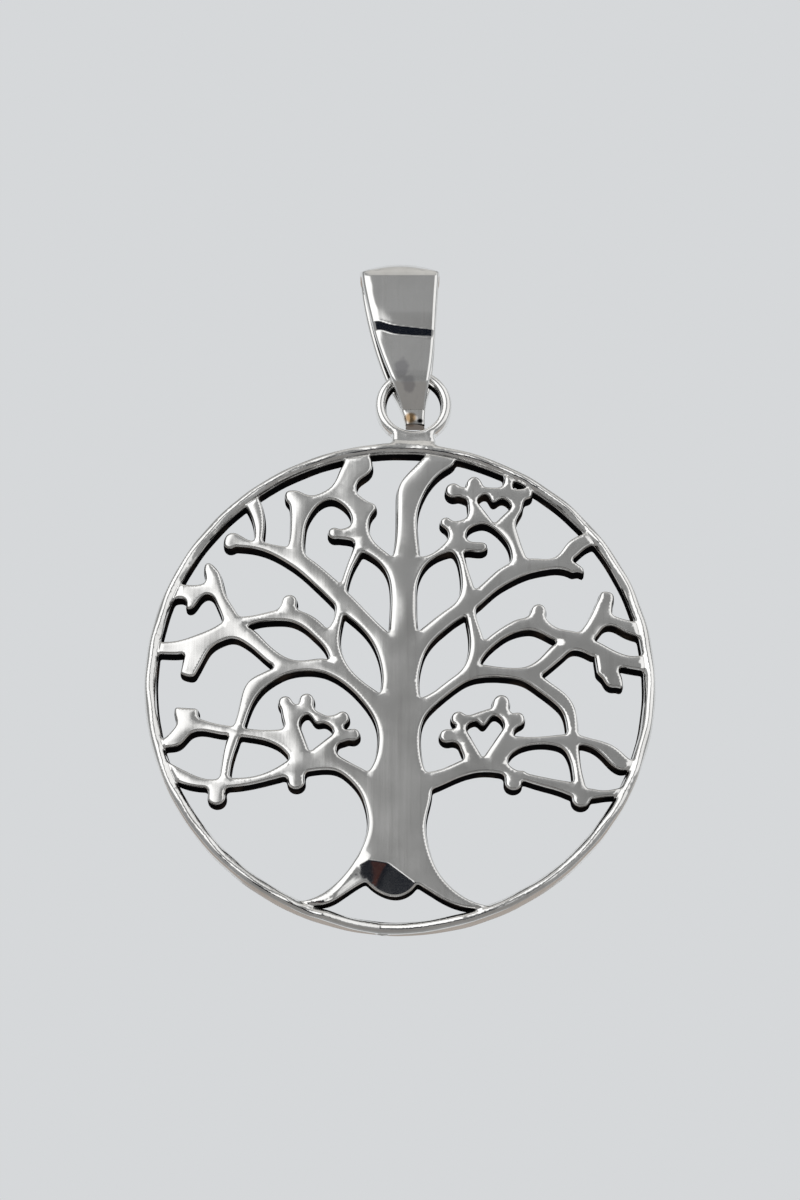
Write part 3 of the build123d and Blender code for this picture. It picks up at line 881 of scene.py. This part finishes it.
taper_shares = np.linspace(*measured_shares, measures)
taper = [bail_sides((bail_base + share * bail_height) * MM) for share in taper_shares]
taper = np.array(taper) / MM
last_stride = (1 - measured_shares[1]) / (measured_shares[1] / (measures - 1))
taper_shares = np.append(taper_shares, 1.0)
taper = np.vstack([taper, taper[-1] + (taper[-1] - taper[-2]) * last_stride])
print("bail width at the end and the fold", np.round(np.ptp(taper, axis=1)[[0, -1]], 2))


# %% [markdown]
# The bail's silver carries what the photograph shows on it: a grey smudge of two touching
# spots on the front, a warm bead of solder near the lower end with a dark pit beside it, and a
# brown band of painted shade under the end. Each is a spot in the piece's own coordinates, with
# its border broken by fine noise.

# %% Silver of the bail, with its stains and a painted shade
smudge_tone = (0.33, 0.32, 0.36, 1)
solder_tone = (0.40, 0.27, 0.15, 1)
silver_bail = silver_finish("bail_silver", 0.2)
ragged = silver_bail.noise(1500, detail=3)


def stain_or_shade(distance, raggedness, inner, outer):
    """1 on a stain or a painted shade and 0 off it, with a broken border."""
    return 1 - (distance + ragged * raggedness).between(inner, outer)


upper_smudge = silver_bail.spot((0.10, -1.6, -8.1), (0.55, 1.0, 0.85))
lower_smudge = silver_bail.spot((0.60, -1.6, -9.2), (0.50, 1.0, 0.65))
smudge = stain_or_shade(upper_smudge.maths("MINIMUM", lower_smudge), 1.1, 1.15, 1.75)
solder = stain_or_shade(silver_bail.spot((0.75, -0.3, -11.5), (0.52, 0.6, 0.52)), 0.4, 0.9, 1.3)
pit = stain_or_shade(silver_bail.spot((1.42, -0.3, -11.7), (0.25, 0.5, 0.22)), 0.4, 0.9, 1.4)
# A brown band along the bail's lower end is painted shade under it.
shade_under_end = stain_or_shade(silver_bail.spot((1.1, 0, -12.0), (1.2, 1.5, 0.13)), 0.4, 0.9, 1.3)
tone = silver_bail.shader.inputs["Base Color"].links[0].from_socket
for share, stain_or_shade_tone in ((smudge * 0.45, smudge_tone), (solder, solder_tone),
                          (shade_under_end * 0.7, oxide_and_shade_brown), (pit, oxide_and_shade_dark)):
    tone = silver_bail.blend(share, tone, stain_or_shade_tone)
silver_bail.set(Base_Color=tone)
print("nodes in the bail's silver", len(silver_bail.tree.nodes))

# %% [markdown]
# Geometry Nodes then run a round-edged bar along the path. The bar is as wide as the fold all
# the way, because Curve to Mesh can scale a bar along its path but would thin its rounded
# edges too. The taper comes after, in the mesh.

# %% A Geometry Nodes tree
class Steps:
    """A Geometry Nodes tree with named inputs."""

    def __init__(self, name, sizes):
        self.tree = bpy.data.node_groups.new(name, "GeometryNodeTree")
        face = self.tree.interface
        face.new_socket("Geometry", in_out="INPUT", socket_type="NodeSocketGeometry")
        face.new_socket("Geometry", in_out="OUTPUT", socket_type="NodeSocketGeometry")
        for label, value in sizes.items():
            size = face.new_socket(label, in_out="INPUT", socket_type="NodeSocketFloat")
            size.default_value = value
        self.given = self.tree.nodes.new("NodeGroupInput").outputs

    def add(self, kind, settings=None, **sockets):
        node = self.tree.nodes.new(kind)
        for name, value in (settings or {}).items():
            setattr(node, name, value)
        for name, value in sockets.items():
            socket = node.inputs[name.replace("_", " ")]
            if isinstance(value, bpy.types.NodeSocket):
                self.tree.links.new(value, socket)
            else:
                socket.default_value = value
        return node.outputs[0]

    def close(self, geometry):
        self.tree.links.new(geometry, self.tree.nodes.new("NodeGroupOutput").inputs[0])


# %% The bar along the path
bar_round = 0.17
bar_step = 0.12
strip_sizes = {"Strip Thickness": strip_thickness * MM, "Strip Width": 2 * bail_high.x,
               "Edge Round": bar_round * MM, "Bar Step": bar_step * MM}
steps = Steps("folded strip", strip_sizes)
path = steps.add("GeometryNodeMeshToCurve", Mesh=steps.given["Geometry"])
bar = steps.add("GeometryNodeCurvePrimitiveQuadrilateral", Width=steps.given["Strip Width"],
                Height=steps.given["Strip Thickness"])
bar = steps.add("GeometryNodeFilletCurve", {"mode": "POLY"}, Curve=bar, Count=4,
                Radius=steps.given["Edge Round"])
bar = steps.add("GeometryNodeResampleCurve", {"mode": "LENGTH"}, Curve=bar,
                Length=steps.given["Bar Step"])
strip = steps.add("GeometryNodeCurveToMesh", Curve=path, Profile_Curve=bar, Fill_Caps=True)
strip = steps.add("GeometryNodeRealizeInstances", Geometry=strip)
strip = steps.add("GeometryNodeSetMaterial", Geometry=strip, Material=silver_bail.material)
steps.close(strip)
bail.modifiers.new("folded strip", "NODES").node_group = steps.tree


def settled(piece):
    """Turns the modifier's result into the piece's own plain mesh."""
    seen = piece.evaluated_get(bpy.context.evaluated_depsgraph_get())
    plain = bpy.data.meshes.new_from_object(seen)
    piece.modifiers.clear()
    piece.data = plain
    return plain


strip_mesh = settled(bail)
print("straight bar", len(strip_mesh.polygons), "faces")

# %% [markdown]
# The straight bar is then worked like the real strip. It is drawn in to the taper with its
# rounded edges kept, and the fold is crowned. Below the belly the front steps in at a knee,
# with a small lip above the step: this is what shows as the dark band. The left edge is
# rounded back, the right edge only a little. Each is a small function of a point's place, so
# every one of them can be judged and changed alone.

# %% Knee and edges of the front
crown_drop = 0.55
crown_shares = (0.90, 0.985)
fold_shares = (0.93, 0.97)
knee_share = 0.562
knee_tilt = 0.12
knee_rise, rise_place, rise_width = 0.20, 0.5, 0.6
knee_lead = math.tan(math.radians(6))
lead_height = 1.8
knee_slope = math.tan(math.radians(18.5))
knee_height = 0.66
lip_rise, lip_place, lip_width = 0.018, 0.04, 0.05
flank_depth = 0.26
flank_width = 0.62
flank_least = 0.07
flank_shares = (0.46, 0.66)
flank_foot = (0.10, 0.22)
flank_round = 0.98
right_flank_width = 0.45
right_flank_slope = math.tan(math.radians(14))
right_flank_foot = (0.10, 0.3)


def knee_step(down):
    """How far the front has stepped in, this far below the knee's upper line, in mm."""
    levels = np.linspace(-lead_height, knee_height + 0.3, 401)
    ends = ramp(levels, knee_height - 0.08, knee_height + 0.04)
    slope = knee_slope * ramp(levels, -0.03, 0.05) * (1 - ends)
    slope = slope + knee_lead * ramp(levels, -lead_height, 0) * (levels < 0)
    return np.interp(down, levels, np.cumsum(slope) * (levels[1] - levels[0]))


def knee(across, z, share, left):
    """How far the knee brings the front in, less the lip above it."""
    line = bail_base + knee_share * bail_height - knee_tilt * across
    line = line + knee_rise * np.exp(-((across - left - rise_place) / rise_width) ** 2)
    down = line - z
    step_foot = knee_share - knee_height / bail_height
    fade = np.clip((share - leg_bend) / (step_foot - leg_bend), 0, 1)
    return knee_step(down) * fade - lip_rise * np.exp(-((down + lip_place) / lip_width) ** 2)


def left_flank(across, z, share, left):
    """How far the left edge is rounded back, over a slightly uneven width."""
    width = flank_width * (1 + 0.06 * np.sin(2.9 * z) + 0.02 * np.sin(6.7 * z + 1.0))
    to_left = np.clip(1 - (across - left) / width, 0, 1)
    depth = flank_least + (1 - flank_least) * ramp(share, *flank_shares)
    depth = flank_depth * depth * (1 - ramp(share, *fold_shares)) * ramp(share, *flank_foot)
    return depth * (1 - np.sqrt(1 - to_left ** 2 * flank_round))


def right_flank(across, share, right):
    """How far the right edge is turned back."""
    to_right = np.clip(across - right + right_flank_width, 0, None)
    turned = right_flank_slope / right_flank_width / 2 * to_right ** 2
    return turned * ramp(share, *right_flank_foot) * (1 - ramp(share, *fold_shares))


print("knee steps in by", round(float(knee_step(knee_height)), 3), "mm")

# %% Work the strip to its shape
bead_height = 0.09
bead_place = (0.75, 0.45)
bead_size = (0.45, 0.35)
crisp_zone = 0.3
crisp_angle = math.radians(5)


def drawn_in(x, left, right):
    """Where a point of the straight bar comes to lie across the tapered strip."""
    half = bail_high.x / MM
    from_left = np.minimum(x + half, bar_round)
    from_right = np.minimum(half - x, bar_round)
    flat = np.clip((x + half - bar_round) / (2 * half - 2 * bar_round), 0, 1)
    return left + from_left + (right - left - 2 * bar_round) * flat + bar_round - from_right


def worked(points):
    """The bar's points, moved to the shape of the worked strip, in mm."""
    x, y, z = points.T
    share = (z - bail_base) / bail_height
    left = np.interp(share, taper_shares, taper[:, 0])
    right = np.interp(share, taper_shares, taper[:, 1])
    across = drawn_in(x, left, right)
    crown = crown_drop * (across / (bail_high.x / MM)) ** 2 * ramp(share, *crown_shares)
    inward = knee(across, z, share, left) + left_flank(across, z, share, left)
    inward = (inward + right_flank(across, share, right)) * (share > seam_top)
    from_bead = ((across - bead_place[0]) / bead_size[0]) ** 2
    from_bead = from_bead + ((z - bail_base - bead_place[1]) / bead_size[1]) ** 2
    inward = inward - bead_height * np.exp(-from_bead)
    return np.column_stack([across, y + (y < 0) * inward, z - crown])


placed = np.empty(3 * len(strip_mesh.vertices))
strip_mesh.vertices.foreach_get("co", placed)
strip_mesh.vertices.foreach_set("co", (worked(placed.reshape(-1, 3) / MM) * MM).ravel())
shell = bmesh.new()
shell.from_mesh(strip_mesh)
bmesh.ops.recalc_face_normals(shell, faces=shell.faces[:])
for face in shell.faces:
    face.smooth = True
for edge in shell.edges:
    ends = [vert.co for vert in edge.verts]
    runs_across = abs(ends[0].x - ends[1].x) > 0.9 * edge.calc_length()
    from_bend = abs(ends[0].z / MM - bail_base - leg_bend * bail_height)
    if runs_across and from_bend < crisp_zone and edge.calc_face_angle(0) > crisp_angle:
        edge.smooth = False
shell.to_mesh(strip_mesh)
open_edges = sum(1 for edge in shell.edges if len(edge.link_faces) != 2)
shell.free()
print("bail faces", len(strip_mesh.polygons), "open edges", open_edges)

# %% [markdown]
# The pieces take their places in the moving frame: the pendant swings, the bail stays. Each
# is a plain mesh by now, so it can stand in for its solid and carry the solid's finish.

# %% Dress the frame
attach(pendant, "pendant")
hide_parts("tree_pendant")
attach(bail, "bail")
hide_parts("bail")
print("dressed", pendant.name, "and", bail.name)

# %% [markdown]
# Silver shows its surroundings, so the studio is the other half of the finish. It is made of
# cards that give their own light. A card curves round the disc, covers a range of angles seen
# from there, and fades at its edges into what lies beyond, so that no reflection ends hard.
# The camera doesn't see the cards, only their reflections.

# %% Cards that glow
room_tone = (0.290, 0.293, 0.295, 1)
card_steps = 24


def glow(name, tone, beyond=None):
    """A card's own light, which fades to what lies beyond its edges."""
    finish = Finish(name)
    tone = finish.blend(finish.attribute("fade"), tone, beyond) if beyond else tone
    finish.set(Base_Color=(0, 0, 0, 1), Roughness=1.0, Specular_IOR_Level=0.0,
               Emission_Color=tone, Emission_Strength=1.0)
    return finish.material


def put(name, verts, faces, material, seen):
    """A sheet of the studio, seen by the camera or only reflected."""
    sheet = bpy.data.meshes.new(name)
    sheet.from_pydata(verts, [], faces)
    sheet.materials.append(material)
    card = bpy.data.objects.new(name, sheet)
    scene.collection.objects.link(card)
    card.visible_camera = seen
    card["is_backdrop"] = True
    return card


def around(azimuth, elevation, distance):
    """A place in front of the disc: azimuth to the right and elevation up, in degrees."""
    a = math.radians(azimuth)
    e = math.radians(elevation)
    direction = (math.sin(a) * math.cos(e), -math.cos(a) * math.cos(e), math.sin(e))
    return disc_centre + distance * Vector(direction)


def curved_card(name, azimuths, elevations, distance, soft, tone, beyond=room_tone):
    """A card that fills a range of angles as seen from the disc, soft over some degrees."""
    verts = []
    fade = []
    for row in range(card_steps + 1):
        for column in range(card_steps + 1):
            a = azimuths[0] + (azimuths[1] - azimuths[0]) * column / card_steps
            e = elevations[0] + (elevations[1] - elevations[0]) * row / card_steps
            verts.append(around(a, e, distance))
            to_edge = min(a - azimuths[0], azimuths[1] - a, e - elevations[0], elevations[1] - e)
            fade.append(1 - float(ramp(to_edge, 0, soft)))
    faces = []
    for row in range(card_steps):
        for column in range(card_steps):
            corner = row * (card_steps + 1) + column
            above = corner + card_steps + 1
            faces.append((corner, corner + 1, above + 1, above))
    card = put(name, verts, faces, glow(name + "_glow", tone, beyond), False)
    card.data.attributes.new("fade", "FLOAT", "POINT").data.foreach_set("value", fade)


# %% [markdown]
# The plain ground behind the piece gives its own light too, so that it stays as even as a lit
# paper backdrop. The floor is out of the picture. It is kept out of the reflections, because a
# pale floor would brighten the ring's lower edge.

# %% Ground
backdrop_tone = (0.672, 0.687, 0.701, 1)
floor_tone = (0.70, 0.665, 0.64, 1)
floor_glow = (0.30, 0.295, 0.29, 1)
ground_reach = 1.5


def flat_sheet(name, corners, material):
    """A flat sheet of the studio that the camera may see."""
    return put(name, corners, [(0, 1, 2, 3)], material, True)


near, far = -ground_reach, ground_reach
flat_sheet("backdrop", [(near, 0.45, -1.1), (far, 0.45, -1.1), (far, 0.45, 1.3),
                        (near, 0.45, 1.3)], glow("backdrop_glow", backdrop_tone))
floor_finish = Finish("floor_tone")
floor_finish.set(Base_Color=floor_tone, Roughness=0.8, Specular_IOR_Level=0.0,
                 Emission_Color=floor_glow, Emission_Strength=1.0)
floor = flat_sheet("floor", [(near, near, -0.3), (far, near, -0.3), (far, far, -0.3),
                             (near, far, -0.3)], floor_finish.material)
floor.visible_glossy = False

# %% [markdown]
# A white card on the left lights the left branches, and the dim room in front gives the trunk
# its mid tone. White cards above and to the right draw the thin edge lights. The dark end of
# a lens, with a warm shade under it, is seen wherever the metal turns down.

# %% Cards round the camera
lens_tone = (0.006, 0.008, 0.013, 1)
hand_tone = (0.085, 0.025, 0.016, 1)
# Name, azimuths and elevations in degrees, distance in metres, soft edge in degrees, tone.
cards = (
    ("left_card", (-60, -2.5), (-4, 48), 0.9, 4, (1.25, 1.25, 1.25, 1)),
    ("right_card", (12.5, 80), (-10, 55), 0.9, 7, (0.95, 0.95, 0.95, 1)),
    ("top_card", (-60, 60), (50, 112), 0.9, 8, (0.62, 0.61, 0.59, 1)),
    ("lens_end", (-26, 14), (-27, -6), 0.35, 0.7, lens_tone),
    ("hand", (-8.5, -3.5), (-25, -18.5), 0.33, 0.7, hand_tone, lens_tone),
    ("dim_card", (-34, 34), (-12, 31), 0.95, 16, (0.225, 0.227, 0.227, 1)),
    ("low_card", (-70, 70), (-75, -29), 0.28, 6, (0.25, 0.243, 0.236, 1)),
    ("table_card", (115, 245), (-50, -2), 0.4, 1.5, (0.40, 0.36, 0.33, 1)),
)
for card in cards:
    curved_card(*card)
print("cards", len(cards))

# %% [markdown]
# What no card covers is the dim room itself, an even grey.

# %% Room
world = bpy.data.worlds.new("studio")
world.use_nodes = True
background = world.node_tree.nodes["Background"]
background.inputs["Color"].default_value = room_tone
background.inputs["Strength"].default_value = 1.0
scene.world = world
scene.view_settings.view_transform = "Standard"
print("room light", room_tone[:3])

# %% Sizes
low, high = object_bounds()
